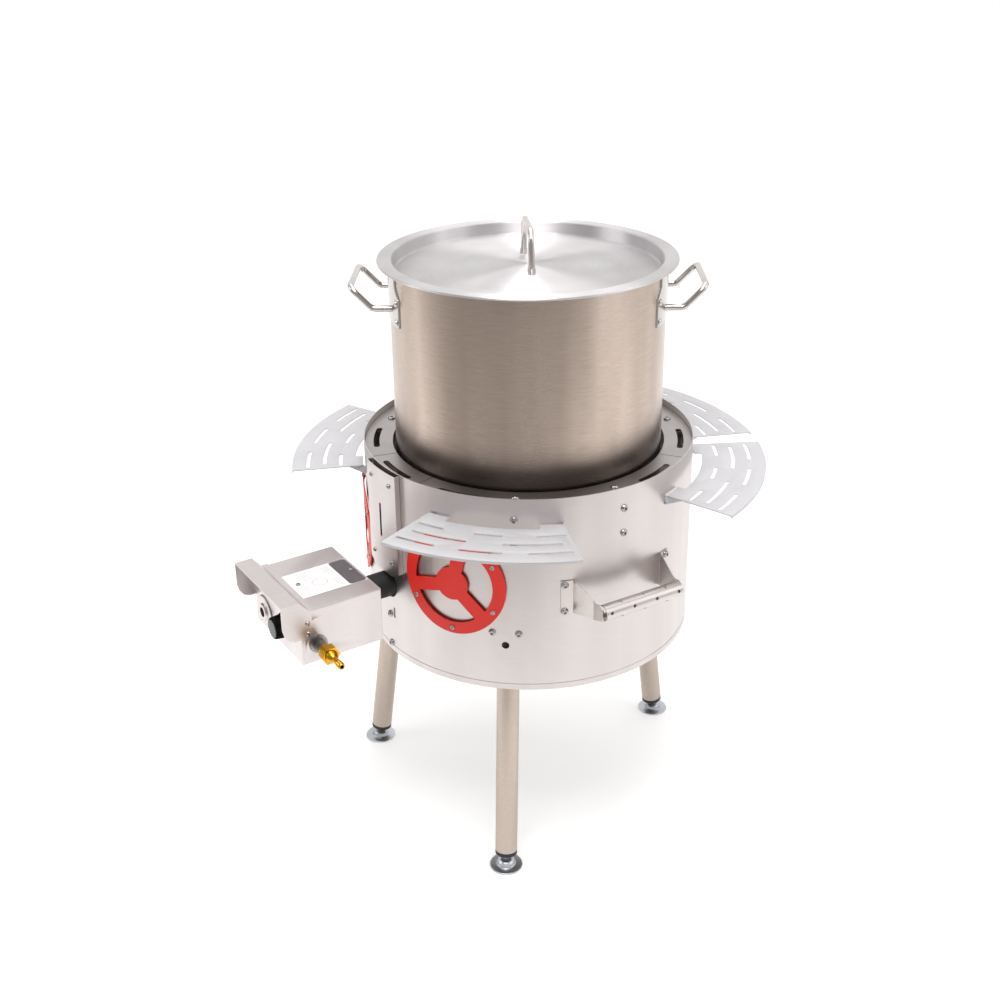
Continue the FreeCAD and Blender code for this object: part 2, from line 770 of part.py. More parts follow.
def carry_bracket(side):
    """A folded bracket: a flange on the drum, a sloping web and a straight end."""
    inner = "drum_radius + 0.2"
    flange = ring_sector(inner, f"{inner} + carry_gauge", 51.5, 424.5, 2.2)
    flange = swing(flange, side * 19.45)
    gauge = "carry_gauge"
    plan = prism("XY_Plane", [
        (f"{side} * 76.2", "-236.6"), (f"{side} * (76.2 - {gauge})", "-236.9"),
        (f"{side} * (68 - {gauge})", "-277"), (f"{side} * (68 - {gauge})", "-300"),
        (f"{side} * 68", "-300"), (f"{side} * 68", "-277"),
    ], "415", "75")
    profile = prism("YZ_Plane", [
        ("-232", "424.5"), ("-232", "476"), ("-240", "476"), ("-284", "457.5"), ("-291", "458.8"),
        ("-299", "455"), ("-299", "437.5"), ("-277", "430"), ("-240", "424.5"),
    ], "-90", "180")
    screw_holes = []
    for level in (469.5, 428):
        screw_holes += holes_at([radial_place(side * CARRY_SWING, value("drum_radius"), level)],
                                "screw_hole_radius", 8, 8)
    return cut(fuse(flange, common(plan, profile)), *screw_holes)


def carry_grip():
    """A rolled sheet grip, open towards the drum and pierced by staggered holes."""
    length = "2 * carry_grip_half_length"
    start = ("-carry_grip_half_length", "-carry_grip_reach", "carry_grip_level")
    outer = cylinder("carry_grip_radius", length, start, SIDEWAYS)
    inner = cylinder("carry_grip_radius - carry_gauge", f"{length} + 4",
                     ("-carry_grip_half_length - 2", "-carry_grip_reach", "carry_grip_level"), SIDEWAYS)
    mouth = box(f"{length} + 4", 20, 13, 0, "carry_grip_reach - 4", "carry_grip_level - 6.5")
    holes = []
    for tilt, spots in ((15, (-57, -19, 19, 57)), (75, (-38, 0, 38)), (-45, (-38, 0, 38))):
        for x in spots:
            centre = front_point(x, value("carry_grip_reach"), value("carry_grip_level"))
            spin = Rotation(Vector(1, 0, 0), 90 - tilt)
            holes.append(rod_at(Placement(centre, spin), 2.4, 8, 7))
    return cut(cut(outer, inner), mouth, *holes)


def make_carry_handles():
    for number, bearing in enumerate((value("carry_bearing"), -value("carry_bearing")), 1):
        for side, hand in ((-1, "a"), (1, "b")):
            bracket = swing(carry_bracket(side), bearing)
            keep(bracket, f"carry_bracket_{number}{hand}")
        keep(swing(carry_grip(), bearing), f"carry_grip_{number}")


# ------------------------------------------------------------------- burner box

def make_burner_box():
    """An open-topped folded tray, with holes for tube, knob spindle, air and gas."""
    depth = "box_outer_reach - box_inner_reach"
    outer = box("2 * box_half_width", depth, "box_top - box_bottom", 0, "box_outer_reach", "box_bottom")
    inner = box("2 * (box_half_width - box_gauge)", f"{depth} - 2 * box_gauge", 100, 0,
                "box_outer_reach - box_gauge", "box_bottom + box_gauge")
    tube_hole = cylinder("burner_tube_radius + 0.2", 20, (0, -292, "burner_level"), OUTWARD)
    spindle_hole = cylinder(4.2, 20, ("knob_offset", -415, "knob_level"), OUTWARD)
    air_hole = cylinder(11, 20, ("air_offset", -415, "air_level"), OUTWARD)
    gas_hole = cylinder(9.2, 20, (70, "-inlet_reach", "inlet_level"), SIDEWAYS)
    side_holes = [cylinder(2.2, 10, (side * 77 - 5, -416.5, level), SIDEWAYS)
                  for side in (-1, 1) for level in (439.5, 424)]
    tray = cut(outer, inner, tube_hole, spindle_hole, air_hole, gas_hole, *side_holes)
    keep(tray, "burner_box")


def make_box_cover():
    """A flat cover sheet with short lips inside the box's long sides."""
    top = box("2 * box_half_width", "box_outer_reach - box_inner_reach", "box_gauge", 0,
              "box_outer_reach", "box_top + 0.1")
    lips = [box("box_gauge", "box_outer_reach - box_inner_reach - 4", 12,
                f"{side} * (box_half_width - box_gauge - 0.8)", "box_outer_reach - 2", "box_top - 11.8")
            for side in (-1, 1)]
    holes = [cylinder(2.2, 10, (x, -reach, "box_top - 4")) for x, reach in ((4, 311), (3, 394))]
    keep(cut(fuse(top, *lips), *holes), "box_cover")


def make_hood():
    """The guard over knob and air inlet: a raised shelf with rounded side cheeks."""
    sheet_top = prism("YZ_Plane", [
        ("-hood_foot_reach", "box_top + 1.4"), ("-414", "box_top + 1.4"), ("-428.5", "hood_level - 1.2"),
        ("-hood_front_reach", "hood_level - 1.2"), ("-hood_front_reach", "hood_level"),
        ("-427.6", "hood_level"), ("-413.4", "box_top + 2.6"), ("-hood_foot_reach", "box_top + 2.6"),
    ], "-box_half_width - 1.4", "2 * box_half_width + 2.8")
    cheek = prism("YZ_Plane", [
        ("-410", "417"), ("-436", "417"), ("-445", "421"), ("-451", "429"), ("-hood_front_reach", "440"),
        ("-hood_front_reach", "hood_level"), ("-427.6", "hood_level"), ("-414", "box_top + 2.6"),
        ("-410", "box_top + 2.6"),
    ], "-box_half_width - 1.4", "2 * box_half_width + 2.8")
    between = box("2 * box_half_width + 0.2", 100, 200, 0, 500, 350)
    cheeks = cut(cheek, between)
    holes = [cylinder(2.2, 10, (side * 77 - 5, -416.5, level), SIDEWAYS)
             for side in (-1, 1) for level in (439.5, 424)]
    keep(cut(fuse(sheet_top, cheeks), *holes), "knob_hood")


def make_label_plate():
    plate = box(74, 100, 0.4, 6, 404.8, "box_top + 1.35")
    holes = [cylinder(2.4, 10, (x, -reach, "box_top - 4")) for x, reach in ((4, 311), (3, 394))]
    keep(cut(plate, *holes), "label_plate")


def box_screw_places():
    """Two screws in the cover and two in each cheek of the hood."""
    about = Rotation(Vector(0, 1, 0), 90)
    opposite = Rotation(Vector(0, 1, 0), -90)
    top = value("box_top") + 1.8
    places = [Placement(front_point(4, 311, top), UP), Placement(front_point(3, 394, top), UP)]
    for side, turn in ((1, about), (-1, opposite)):
        wall = side * (value("box_half_width") + 1.45)
        places += [Placement(front_point(wall, 416.5, level), turn) for level in (439.5, 424)]
    return places


def make_panel_screws():
    """The small screws of the round guards, the port cover and the burner box."""
    places = cover_screw_places() + box_screw_places()
    for side in (1, -1):
        places += guard_screw_places(side * value("guard_bearing"))
    screws(places, "small_head_radius", "small_head_height", "small_shank_radius", 10, "panel_screws")


def make_gas_valve():
    """The valve block, its bracket foot and the stub that meets the gas inlet."""
    block = box(30, 34, 38, "knob_offset", 414, 404)
    nose = cylinder(11, 9, ("knob_offset", -412, "knob_level"), OUTWARD)
    stub = cylinder(8, 26, (50, "-inlet_reach", "inlet_level"), SIDEWAYS)
    elbow = box(22, 22, 18, 46, 413, 394)
    outlet = cylinder(5, 40, ("knob_offset", -345, 414), OUTWARD)
    foot = box(20, 20, "394.2 - box_bottom - box_gauge", 40, 412, "box_bottom + box_gauge")
    spindle_bore = cylinder(3.5, 30, ("knob_offset", -400, "knob_level"), OUTWARD)
    keep(cut(fuse(block, nose, stub, elbow, outlet, foot), spindle_bore), "gas_valve")


def make_spindle():
    """The valve spindle, which turns in the valve and carries the knob."""
    rod = cylinder(3.1, 40, ("knob_offset", -404, "knob_level"), OUTWARD)
    flat = box(10, 16, 4, "knob_offset", 445, "knob_level + 2.1")
    keep(cut(rod, flat), "valve_spindle")


def make_knob():
    """A ribbed knob and its face cap, both turned about the spindle."""
    outline = [
        ("0", "7"), ("11", "7"), ("11", "0"), ("knob_radius - 0.5", "0"), ("knob_radius", "1"),
        ("knob_radius", "4"), ("knob_radius - 2", "5"), ("knob_radius - 3", "20"),
        ("knob_radius - 4", "21.5"), ("13", "21.5"), ("13", "20"), ("0", "20"),
    ]
    knob = turned(outline)
    bore = cylinder(3.45, 17, (0, 0, 0))
    flutes = []
    for step in range(12):
        angle = math.radians(30 * step)
        spot = Vector(17.2 * math.cos(angle), 17.2 * math.sin(angle), 6.5)
        flutes.append(rod_at(Placement(spot, UP), 1.6, 13))
    body = cut(knob, bore, *flutes)
    body.Placement = Placement(front_point(value("knob_offset"), 430.6, value("knob_level")), OUTWARD)
    keep(body, "control_knob")
    cap = cut(cylinder(12.9, 1.9, (0, 0, 20)), box(1.6, 9, 2, 0, 10.5, 21.2))
    cap.Placement = Placement(front_point(value("knob_offset"), 430.6, value("knob_level")), OUTWARD)
    keep(cap, "knob_cap")


def make_air_inlet():
    """A flanged air sleeve in the box's front face."""
    sleeve = turned([
        ("7.5", "-14"), ("10.8", "-14"), ("10.8", "0.1"), ("24.5", "0.1"), ("24.5", "1.4"),
        ("22.5", "2"), ("13", "2"), ("12", "4.5"), ("7.5", "4.5"),
    ])
    sleeve.Placement = Placement(front_point(value("air_offset"), 427, value("air_level")), OUTWARD)
    keep(sleeve, "air_inlet")


def make_burner_tube():
    """The black mixing tube from the box into the drum, with a flange in the box."""
    run = cylinder("burner_tube_radius", 246, (0, -66, "burner_level"), OUTWARD)
    bore = cylinder("burner_tube_radius - 2.5", 300, (0, -60, "burner_level"), OUTWARD)
    flange = cylinder("burner_tube_radius + 8", 3, (0, -303.4, "burner_level"), OUTWARD)
    keep(cut(fuse(run, flange), bore), "burner_tube")


def make_burner_head():
    """A cast round burner: a bowl with a ring of flame ports in its crown."""
    head = turned([
        ("0", "burner_level - 20"), ("52", "burner_level - 20"), ("72", "burner_level"),
        ("74", "burner_level + 8"), ("60", "burner_level + 16"), ("0", "burner_level + 20"),
        ("0", "burner_level + 14"), ("58", "burner_level + 10"), ("67", "burner_level + 4"),
        ("50", "burner_level - 14"), ("0", "burner_level - 14"),
    ])
    tube_seat = cylinder("burner_tube_radius + 0.05", 70, (0, -30, "burner_level"), OUTWARD)
    collar = cylinder("burner_tube_radius + 4", 30, (0, -62, "burner_level"), OUTWARD)
    ports = []
    for count, radius in ((24, 52), (16, 36)):
        for step in range(count):
            angle = 2 * math.pi * step / count
            ports.append(cylinder(2, 14, (radius * math.cos(angle), radius * math.sin(angle),
                                          "burner_level + 8")))
    keep(cut(cut(fuse(head, collar), tube_seat), *ports), "burner_head")


def make_burner_holder():
    """A strap from the drum's front wall with a saddle under the mixing tube."""
    wall_plate = ring_sector("drum_radius - 5.2", "drum_radius - 3.2", 84, 303, 4.7)
    arm = box(30, 89, 2.5, 0, 244.4, 384)
    saddle = box(30, 12, 12, 0, 167.4, 384)
    saddle_bore = cylinder("burner_tube_radius + 0.1", 40, (0, -140, "burner_level"), OUTWARD)
    holes = [cylinder("screw_hole_radius", 20, (0, -236, level), OUTWARD) for level in (363, 313)]
    slot = box(6, 20, 18, 12, 250, 360.5)
    keep(cut(fuse(wall_plate, arm, saddle), saddle_bore, slot, *holes), "burner_holder")


def make_gas_inlet():
    """The steel adapter that passes through the box's side."""
    seat = value("box_half_width")
    pipe = cylinder(9, 20, (76.2, "-inlet_reach", "inlet_level"), SIDEWAYS)
    bore = cylinder(4, 30, (70, "-inlet_reach", "inlet_level"), SIDEWAYS)
    washer = cylinder(13, 2, (seat + 0.1, "-inlet_reach", "inlet_level"), SIDEWAYS)
    keep(cut(fuse(pipe, washer), bore), "gas_adapter")


def make_hose_barb():
    """A brass hose tail: collar, hexagon, shoulder and ridged barb."""
    at = "-inlet_reach"
    collar = cylinder(9.5, 8, (96.3, at, "inlet_level"), SIDEWAYS)
    nut = hexagon(12.7, 13, (104, at, "inlet_level"), SIDEWAYS)
    shoulder = cone(9.5, 5.6, 9, (116.9, at, "inlet_level"), SIDEWAYS)
    stem = cylinder(4.5, 24, (125, at, "inlet_level"), SIDEWAYS)
    ridges = [cone(5.3, 4.5, 4, (x, at, "inlet_level"), SIDEWAYS) for x in (139, 144)]
    bore = cylinder(2.8, 60, (94, at, "inlet_level"), SIDEWAYS)
    keep(cut(fuse(collar, nut, shoulder, stem, *ridges), bore), "hose_barb")


# -------------------------------------------------------------------- assembly

make_pot()
for number, bearing in enumerate(HANDLE_BEARINGS, 1):
    make_pot_handle(bearing, f"pot_handle_{number}")
make_pot_rivets()
make_lid()
make_lid_handle()
make_drum()
make_top_ring()
make_ring_bolts()
make_pot_rests()
screws(drum_screw_places(), "screw_head_radius", "screw_head_height", "screw_shank_radius", 9,
       "drum_screws")
for number, bearing in enumerate(LEG_BEARINGS, 1):
    make_leg(number, bearing)
    make_leg_cap(number, bearing)
    make_leg_socket(number, bearing)
    make_foot(number, bearing)
make_shelves()
make_round_guards()
make_port_cover()
make_carry_handles()
make_burner_box()
make_box_cover()
make_hood()
make_label_plate()
make_panel_screws()
make_gas_valve()
make_spindle()
make_knob()
make_air_inlet()
make_burner_tube()
make_burner_head()
make_burner_holder()
make_gas_inlet()
make_hose_barb()
doc.recompute()

failed = [item.Name for item in doc.Objects if "Invalid" in item.State or "Error" in item.State]
if failed:
    raise RuntimeError("features failed: " + ", ".join(failed))
for item in sub_parts:
    if item.Shape.isNull() or not item.Shape.isValid():
        raise RuntimeError("bad shape: " + item.Label)

os.makedirs("parts", exist_ok=True)
for item in sub_parts:
    item.Shape.exportStep(f"parts/{item.Label}.step")
    print(f"{item.Label:20s} solids {len(item.Shape.Solids):3d}  volume {item.Shape.Volume:12.1f}")
print(len(sub_parts), "pieces")
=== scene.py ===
import json
import math
import bpy
from mathutils import Matrix, Vector

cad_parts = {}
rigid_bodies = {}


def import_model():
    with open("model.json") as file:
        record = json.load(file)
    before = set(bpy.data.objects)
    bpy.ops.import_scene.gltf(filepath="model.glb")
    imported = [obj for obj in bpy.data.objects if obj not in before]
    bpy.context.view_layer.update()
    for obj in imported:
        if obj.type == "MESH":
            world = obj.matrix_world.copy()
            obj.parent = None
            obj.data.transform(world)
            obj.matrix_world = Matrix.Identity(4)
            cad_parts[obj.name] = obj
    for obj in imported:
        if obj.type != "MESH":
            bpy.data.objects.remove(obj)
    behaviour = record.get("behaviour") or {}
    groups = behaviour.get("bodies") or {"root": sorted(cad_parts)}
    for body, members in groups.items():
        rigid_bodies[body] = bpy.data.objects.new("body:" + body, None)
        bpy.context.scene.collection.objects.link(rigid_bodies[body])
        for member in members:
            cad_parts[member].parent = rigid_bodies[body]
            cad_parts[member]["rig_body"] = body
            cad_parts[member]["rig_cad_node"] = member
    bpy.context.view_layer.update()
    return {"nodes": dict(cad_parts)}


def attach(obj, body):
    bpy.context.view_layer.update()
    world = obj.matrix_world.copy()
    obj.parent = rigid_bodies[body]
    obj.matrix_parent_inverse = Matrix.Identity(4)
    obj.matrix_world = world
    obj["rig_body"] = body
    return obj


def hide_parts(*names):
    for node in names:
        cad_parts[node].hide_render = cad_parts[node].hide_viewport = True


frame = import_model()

# ---------------------------------------------------------------- camera, light and floor
# A studio corner: one camera above the right front, a white paper sweep lit from behind that
# ends on a greyer floor near the camera, a surround bright behind the object, and soft boxes.

MM = 0.001
FACING = math.radians(56)
LENS_YAW = 0.0225
LENS_PITCH = 0.4037
LENS_ROLL = -0.0118
CAMERA_REACH = 1.8815
CAMERA_SIDE = -0.0005
CAMERA_HEIGHT = 1.3881
FOCAL_LENGTH = 48.44
FLOOR_SIDE = 40
SOFT_BOX_AIM = Vector((0, 0, 0.55))
# name, bearing in degrees, reach and height in metres, side in metres, watts
SOFT_BOXES = (("soft_box_right", 130, 2.4, 1.9, 1.6, 9), ("soft_box_left", -28, 2.4, 1.5, 1.2, 10),
              ("soft_box_front", 50, 0.8, 2.2, 0.9, 19), ("soft_box_top", 236, 0.5, 2.7, 2.2, 17))


def linear(hex_code):
    """An sRGB hex colour as linear red, green, blue and alpha."""
    steps = [int(hex_code[i:i + 2], 16) / 255 for i in (1, 3, 5)]
    return [s / 12.92 if s <= 0.04045 else ((s + 0.055) / 1.055) ** 2.4 for s in steps] + [1.0]


def add_node(tree, kind, inputs=(), **settings):
    """Add a shader node, set its properties, then fill or link its inputs by name or number."""
    node = tree.nodes.new(kind)
    for name, setting in settings.items():
        setattr(node, name, setting)
    for name, source in dict(inputs).items():
        if isinstance(source, bpy.types.NodeSocket):
            tree.links.new(source, node.inputs[name])
        else:
            node.inputs[name].default_value = source
    return node


def bearing_point(bearing, reach, height):
    """A point at a bearing in degrees from -Y towards +X."""
    angle = math.radians(bearing)
    return Vector((reach * math.sin(angle), -reach * math.cos(angle), height))


lens = bpy.data.cameras.new("studio_camera")
lens.lens = FOCAL_LENGTH
lens.sensor_width = 36
lens.shift_y = -0.06
camera = bpy.data.objects.new("studio_camera", lens)
bpy.context.scene.collection.objects.link(camera)
stand_point = Matrix.Rotation(FACING, 4, "Z") @ Vector((CAMERA_SIDE, -CAMERA_REACH, CAMERA_HEIGHT))
camera.matrix_world = (Matrix.Translation(stand_point)
                       @ Matrix.Rotation(FACING + LENS_YAW, 4, "Z")
                       @ Matrix.Rotation(math.pi / 2 - LENS_PITCH, 4, "X")
                       @ Matrix.Rotation(LENS_ROLL, 4, "Z"))
bpy.context.scene.camera = camera
bpy.context.scene.view_settings.view_transform = "Standard"

for name, bearing, reach, height, side, power in SOFT_BOXES:
    glow = bpy.data.lights.new(name, "AREA")
    glow.shape = "SQUARE"
    glow.size = side
    glow.energy = power
    box_light = bpy.data.objects.new(name, glow)
    bpy.context.scene.collection.objects.link(box_light)
    box_light.location = bearing_point(bearing, reach, height)
    aim = SOFT_BOX_AIM - box_light.location
    box_light.rotation_euler = aim.to_track_quat("-Z", "Y").to_euler()

room = bpy.data.worlds.new("pale_studio")
bpy.context.scene.world = room
room.use_nodes = True
room.node_tree.nodes.clear()
ways = add_node(room.node_tree, "ShaderNodeTexCoord").outputs["Generated"]
facing = add_node(room.node_tree, "ShaderNodeVectorMath", {0: ways, 1: bearing_point(30, 1, 0)},
                  operation="DOT_PRODUCT")
dimmer = add_node(room.node_tree, "ShaderNodeMapRange",
                  {"Value": facing.outputs["Value"], "From Min": -0.75, "From Max": 0.8,
                   "To Min": 1.08, "To Max": 0.42}, interpolation_type="SMOOTHSTEP")
surround = add_node(room.node_tree, "ShaderNodeBackground",
                    {"Color": linear("#fdfcfb"), "Strength": dimmer.outputs["Result"]})
add_node(room.node_tree, "ShaderNodeOutputWorld", {"Surface": surround.outputs["Background"]})

bpy.ops.object.select_all(action="DESELECT")
bpy.ops.mesh.primitive_plane_add(size=FLOOR_SIDE, location=(0, 0, 0))
floor = bpy.context.object
floor.name = "studio_floor"
# Matt paper that glows a little. It is white round the object and turns grey about a metre out
# on the camera's side, where the pot mirrors it, so a view from behind shows the grey.
floor_paint = bpy.data.materials.new("white_paper_sweep")
floor_paint.use_nodes = True
paper = floor_paint.node_tree
ground = add_node(paper, "ShaderNodeTexCoord").outputs["Object"]
toward = add_node(paper, "ShaderNodeVectorMath", {0: ground, 1: bearing_point(35, 1, 0)},
                  operation="DOT_PRODUCT").outputs["Value"]
fade = add_node(paper, "ShaderNodeMapRange", {"Value": toward, "From Min": 0.75, "From Max": 1.35},
                interpolation_type="SMOOTHSTEP").outputs["Result"]
paper_tone = add_node(paper, "ShaderNodeMix", {"Factor": fade, 6: linear("#f8f8f7"),
                                               7: linear("#bfbcb9")}, data_type="RGBA")
lift = add_node(paper, "ShaderNodeMapRange", {"Value": fade, "To Min": 0.3, "To Max": 0.0})
paper_shader = paper.nodes["Principled BSDF"]
paper_shader.inputs["Roughness"].default_value = 0.65
paper_shader.inputs["Emission Color"].default_value = linear("#ffffff")
paper.links.new(paper_tone.outputs[2], paper_shader.inputs["Base Color"])
paper.links.new(lift.outputs["Result"], paper_shader.inputs["Emission Strength"])
floor.data.materials.append(floor_paint)

# ------------------------------------------------------------------------------------- pot
# A deep drawn stainless pot, just over 1 mm thick, belt-brushed while it turns, so that fine
# lines run round its wall. It looks a warm satin grey.


TONE_BAND = {"From Min": 0.65, "From Max": 1.35}
LINE_STRETCH = (0.02, 0.02, 1)
STREAK_STRETCH = (1, 1, 0.12)
STREAKS_PER_METRE = 16
# Painted reflection: the colour of the pot's dark foot, standing for the dark gap and ring that its wall
# mirrors.
PAINTED_REFLECTION_TONE = "#544d48"


def metal_finish(name, light, dark, rough, line, stretch=None, glint=0.0, relief=0.006, metal=1.0,
                 dark_foot=None):
    """Worked metal. Lines run round the Z axis, or along the smallest scale in stretch.

    light and dark are its two tones, rough its lowest and highest roughness, line the spacing
    of the lines in millimetres, relief their depth, and dark_foot the heights in millimetres
    between which a painted foot fades out. The foot stands for the dark gap that the wall
    mirrors in its place, and is no mark on the real pot, so it shows when the pot is lifted.
    Real belt lines are under 0.1 mm apart, too fine to show, so they are drawn several times
    coarser. metal below 1 is a dull, blasted skin.
    """
    finish = bpy.data.materials.new(name)
    finish.use_nodes = True
    tree = finish.node_tree
    shader = tree.nodes["Principled BSDF"]
    place = add_node(tree, "ShaderNodeTexCoord").outputs["Object"]
    if stretch is None:
        parts = add_node(tree, "ShaderNodeSeparateXYZ", {"Vector": place})
        flat = add_node(tree, "ShaderNodeVectorMath", {0: place, 1: (1, 1, 0)}, operation="MULTIPLY")
        reach = add_node(tree, "ShaderNodeVectorMath", {0: flat.outputs[0]}, operation="LENGTH")
        rise = add_node(tree, "ShaderNodeMath", {0: reach.outputs["Value"], 1: parts.outputs["Z"]})
        place_round = add_node(tree, "ShaderNodeCombineXYZ",
                               {"X": parts.outputs["X"], "Y": parts.outputs["Y"],
                                "Z": rise.outputs["Value"]}).outputs["Vector"]
        stretched = add_node(tree, "ShaderNodeMapping", {"Vector": place_round,
                                                         "Scale": LINE_STRETCH})
    else:
        stretched = add_node(tree, "ShaderNodeMapping", {"Vector": place, "Scale": stretch})
    grain = add_node(tree, "ShaderNodeTexNoise",
                     {"Vector": stretched.outputs["Vector"], "Scale": 1 / (line * MM), "Detail": 3.0,
                      "Roughness": 0.6}).outputs["Fac"]
    drawn_out = add_node(tree, "ShaderNodeMapping", {"Vector": place, "Scale": STREAK_STRETCH})
    cloud = add_node(tree, "ShaderNodeTexNoise", {"Vector": drawn_out.outputs["Vector"],
                                                  "Scale": STREAKS_PER_METRE, "Detail": 2.0}).outputs["Fac"]
    mixed = add_node(tree, "ShaderNodeMath", {0: grain, 1: cloud}).outputs["Value"]
    tone = add_node(tree, "ShaderNodeMapRange", {"Value": mixed, **TONE_BAND})
    shade = add_node(tree, "ShaderNodeMix", {"Factor": tone.outputs["Result"], 6: linear(dark),
                                             7: linear(light)}, data_type="RGBA")
    # Painted reflection: dark below the first height, fading out by the second.
    if dark_foot:
        level = add_node(tree, "ShaderNodeSeparateXYZ", {"Vector": place}).outputs["Z"]
        clear = add_node(tree, "ShaderNodeMapRange", {"Value": level, "From Min": dark_foot[0] * MM,
                                                      "From Max": dark_foot[1] * MM},
                         interpolation_type="SMOOTHSTEP")
        shade = add_node(tree, "ShaderNodeMix", {"Factor": clear.outputs["Result"],
                                                 6: linear(PAINTED_REFLECTION_TONE), 7: shade.outputs[2]},
                         data_type="RGBA")
    gloss = add_node(tree, "ShaderNodeMapRange", {"Value": mixed, **TONE_BAND, "To Min": rough[1],
                                                  "To Max": rough[0]})
    bump = add_node(tree, "ShaderNodeBump", {"Height": grain, "Strength": 0.3,
                                             "Distance": relief * MM})
    shader.inputs["Metallic"].default_value = metal
    shader.inputs["Anisotropic"].default_value = glint
    tree.links.new(shade.outputs[2], shader.inputs["Base Color"])
    tree.links.new(gloss.outputs["Result"], shader.inputs["Roughness"])
    tree.links.new(bump.outputs["Normal"], shader.inputs["Normal"])
    if glint:
        shader.inputs["Anisotropic Rotation"].default_value = 0.25
        lay = add_node(tree, "ShaderNodeTangent", direction_type="RADIAL", axis="Z")
        tree.links.new(lay.outputs["Tangent"], shader.inputs["Tangent"])
    return finish


def dress(finish, *names):
    """Give CAD nodes a finish."""
    for name in names:
        mesh = frame["nodes"][name].data
        mesh.materials.clear()
        mesh.materials.append(finish)


def corner(centre_reach, centre_height, radius, start, end, steps=6):
    """(radius, height) pairs round an arc, with its angles in degrees from outward to upward."""
    turns = [math.radians(start + (end - start) * i / steps) for i in range(steps + 1)]
    return [(centre_reach + radius * math.cos(t), centre_height + radius * math.sin(t)) for t in turns]


def turned(name, rings, segments=160):
    """A turned form: one ring is extruded and resized through (radius, height) pairs in mm."""
    bpy.ops.object.select_all(action="DESELECT")
    radius, height = rings[0]
    bpy.ops.mesh.primitive_circle_add(vertices=segments, radius=radius * MM,
                                      location=(0, 0, height * MM))
    piece = bpy.context.object
    piece.name = name
    bpy.ops.object.transform_apply(location=True, rotation=True, scale=True)
    bpy.ops.object.mode_set(mode="EDIT")
    bpy.ops.mesh.select_mode(type="VERT")
    bpy.ops.mesh.select_all(action="SELECT")
    for (inner, low), (outer, high) in zip(rings, rings[1:]):
        bpy.ops.mesh.extrude_region_move(TRANSFORM_OT_translate={"value": (0, 0, (high - low) * MM)})
        bpy.ops.transform.resize(value=(outer / inner, outer / inner, 1),
                                 center_override=(0, 0, high * MM))
    bpy.ops.mesh.select_all(action="SELECT")
    bpy.ops.mesh.remove_doubles(threshold=0.002 * MM)
    bpy.ops.mesh.select_all(action="DESELECT")
    bpy.ops.mesh.select_non_manifold()
    bpy.ops.mesh.fill_holes(sides=0)
    bpy.ops.mesh.select_all(action="SELECT")
    bpy.ops.mesh.normals_make_consistent(inside=False)
    bpy.ops.object.mode_set(mode="OBJECT")
    bpy.ops.object.shade_smooth_by_angle(angle=math.radians(32))
    return piece


def fit(piece, finish, slot, body, *stands_for):
    """Finish a piece: its material, the body it rides on and what it replaces. slot, the record's slot, is
    not used.
    """
    piece.data.materials.clear()
    piece.data.materials.append(finish)
    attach(piece, body)
    if stands_for:
        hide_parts(*stands_for)


# Belt-brushed stainless: a warm satin, drawn into upright glints by lines that run round it.
# Below 588 mm the wall is painted dark, fading out by 668 mm: a painted reflection of the dark gap and ring
# beside it.
pot_steel = metal_finish("belt_brushed_pot_steel", "#cfbeb3", "#a99a8f", (0.24, 0.34), 0.5, glint=0.6,
                         dark_foot=(588, 668))
pot_rings = [(2, 474), (100, 474), *corner(184, 490, 16, -90, 0), (200, 600), (200, 740), (200, 866.5),
             *corner(202.2, 867.3, 2.2, 180, 90, 4), *corner(202.9, 870.7, 1.2, -80, 90, 6),
             (199.6, 871.9), (198.8, 871), (198.8, 740), (198.8, 600), *corner(184, 493.8, 14.8, 0, -90),
             (100, 479), (2, 479)]
fit(turned("drawn_pot_shell", pot_rings, 192), pot_steel, "pot_steel", "pot", "pot_body")

# ----------------------------------------------------------------------- pot side handles
# Two bent stainless rods, electropolished, each welded to a curved plate that dome-head rivets
# hold to the pot wall.

# Electropolished rod is smooth, with narrow bright reflections. Rivet heads are a little duller.
rod_steel = metal_finish("polished_rod_steel", "#d8d4d1", "#bdb8b5", (0.12, 0.24), 3.0, (1, 1, 1))
rivet_steel = metal_finish("bright_rivet_steel", "#d8d5d0", "#bdb9b3", (0.18, 0.3), 1.0, (1, 1, 1))
dress(rod_steel, "pot_handle_1", "pot_handle_2")
dress(rivet_steel, "pot_rivets")

# ------------------------------------------------------------------------------------- lid
# A spun stainless lid: a sunk, slightly crowned floor, a tight corner up to a flat flange, and
# a rolled outer edge. Its circular polish gives fan-shaped glints.

# Circular polish on stainless: a pale grey that shines in two fans, towards and away from light.
lid_steel = metal_finish("spun_lid_steel", "#dbd8d9", "#cac7c8", (0.4, 0.47), 0.6, glint=0.95)


CROWN_RISE = 8
CROWN_EDGE = 190.5


def crown(reach, level):
    """One ring of the crowned floor, which falls from its centre to its edge."""
    return reach, level - CROWN_RISE * (reach / CROWN_EDGE) ** 2


lid_rings = [*[crown(reach, 861.2) for reach in (1.5, 30, 60, 90, 120, 150, 175)],
             *corner(190.5, 857.3, 4, -90, -8), *corner(198.4, 871, 3, 176, 90),
             (206, 874), (213, 873.9), *corner(215.1, 872.1, 1.8, 90, -100, 8),
             (213.4, 871.4), (212.6, 872.7), (199.2, 872.8), *corner(199.4, 870.6, 2.2, 100, 178, 4),
             (196.2, 860), *corner(190.5, 857.3, 5.2, 0, -90),
             *[crown(reach, 860) for reach in (175, 150, 120, 90, 60, 30, 1.5)]]
fit(turned("spun_lid", lid_rings, 192), lid_steel, "lid_steel", "lid", "lid")
dress(rod_steel, "lid_handle")
